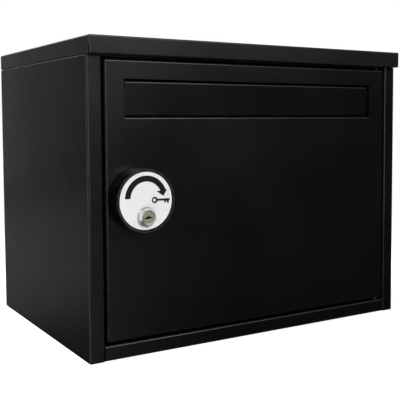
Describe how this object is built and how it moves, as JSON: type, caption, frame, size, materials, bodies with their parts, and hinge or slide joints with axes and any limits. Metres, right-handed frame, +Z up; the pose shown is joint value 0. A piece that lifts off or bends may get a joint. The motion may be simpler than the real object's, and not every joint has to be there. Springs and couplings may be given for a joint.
{
  "type": "parcel drop box",
  "caption": "Black steel parcel drop box with a cap lid, a flush side-hinged door with a push-in letter flap, and a round turning lock knob.",
  "frame": {"origin": "bottom centre of the whole object's bounding box", "axes": "+X to the right seen from the front, the door faces -Y, +Z up"},
  "size_m": [0.441, 0.332, 0.3483],
  "materials": {
    "powder_coat": "satin fine-textured black powder coat",
    "zinc_steel": "zinc-plated steel",
    "nylon": "black nylon",
    "rubber": "matte black rubber",
    "knob_black": "glossy black moulded plastic",
    "disc_white": "white disc with a printed black arrow",
    "lock_chrome": "polished chrome",
    "plug_brass": "nickel-brass lock plug face"
  },
  "bodies": {
    "cabinet": {"left_side_panel": "powder_coat", "right_side_panel": "powder_coat", "bottom_panel": "powder_coat", "back_panel": "powder_coat", "lid": "powder_coat", "left_top_angle": "powder_coat", "right_top_angle": "powder_coat", "rear_top_angle": "powder_coat", "lid_screw_1": "zinc_steel", "lid_screw_2": "zinc_steel", "lid_screw_3": "zinc_steel", "lid_screw_4": "zinc_steel", "front_top_rail": "powder_coat", "lower_hinge_pin": "zinc_steel", "upper_hinge_pin": "zinc_steel", "lower_hinge_washer": "nylon", "upper_hinge_washer": "nylon", "mounting_plug_1": "rubber", "mounting_plug_2": "rubber", "mounting_plug_3": "rubber", "mounting_plug_4": "rubber", "door_bumper_1": "rubber", "door_bumper_2": "rubber", "door_bumper_3": "rubber"},
    "door": {"door_panel": "powder_coat", "slot_stiffener": "powder_coat", "hinge_side_stiffener": "powder_coat", "flap_bracket_left": "zinc_steel", "flap_bracket_right": "zinc_steel", "bracket_rivet_left": "zinc_steel", "bracket_rivet_right": "zinc_steel", "knob_base_ring": "knob_black", "latch_bush": "zinc_steel", "bush_nut": "zinc_steel"},
    "flap": {"letter_flap": "powder_coat", "flap_rod": "zinc_steel", "flap_clip_left": "zinc_steel", "flap_clip_right": "zinc_steel", "flap_spring": "zinc_steel"},
    "knob": {"knob_body": "knob_black", "knob_disc": "disc_white", "latch_spindle": "zinc_steel", "cam_lever": "zinc_steel", "lever_nut": "zinc_steel", "lock_barrel": "lock_chrome"},
    "lock_plug": {"key_plug": "plug_brass", "lock_pawl": "zinc_steel"}
  },
  "joints": [
    {"name": "door_hinge", "type": "hinge", "parent": "cabinet", "child": "door", "pos_m": [0.1918, -0.132, 0.17], "axis": [0, 0, 1], "range_deg": [0, 110]},
    {"name": "flap_hinge", "type": "hinge", "parent": "door", "child": "flap", "pos_m": [0, -0.131, 0.2915], "axis": [1, 0, 0], "range_deg": [0, 75], "stiffness_Nm_per_rad": 0.02},
    {"name": "knob_turn", "type": "hinge", "parent": "door", "child": "knob", "pos_m": [-0.1632, -0.138, 0.1727], "axis": [0, 1, 0], "range_deg": [0, 90]},
    {"name": "key_turn", "type": "hinge", "parent": "knob", "child": "lock_plug", "pos_m": [-0.1632, -0.138, 0.1552], "axis": [0, 1, 0], "range_deg": [0, 90]}
  ]
}
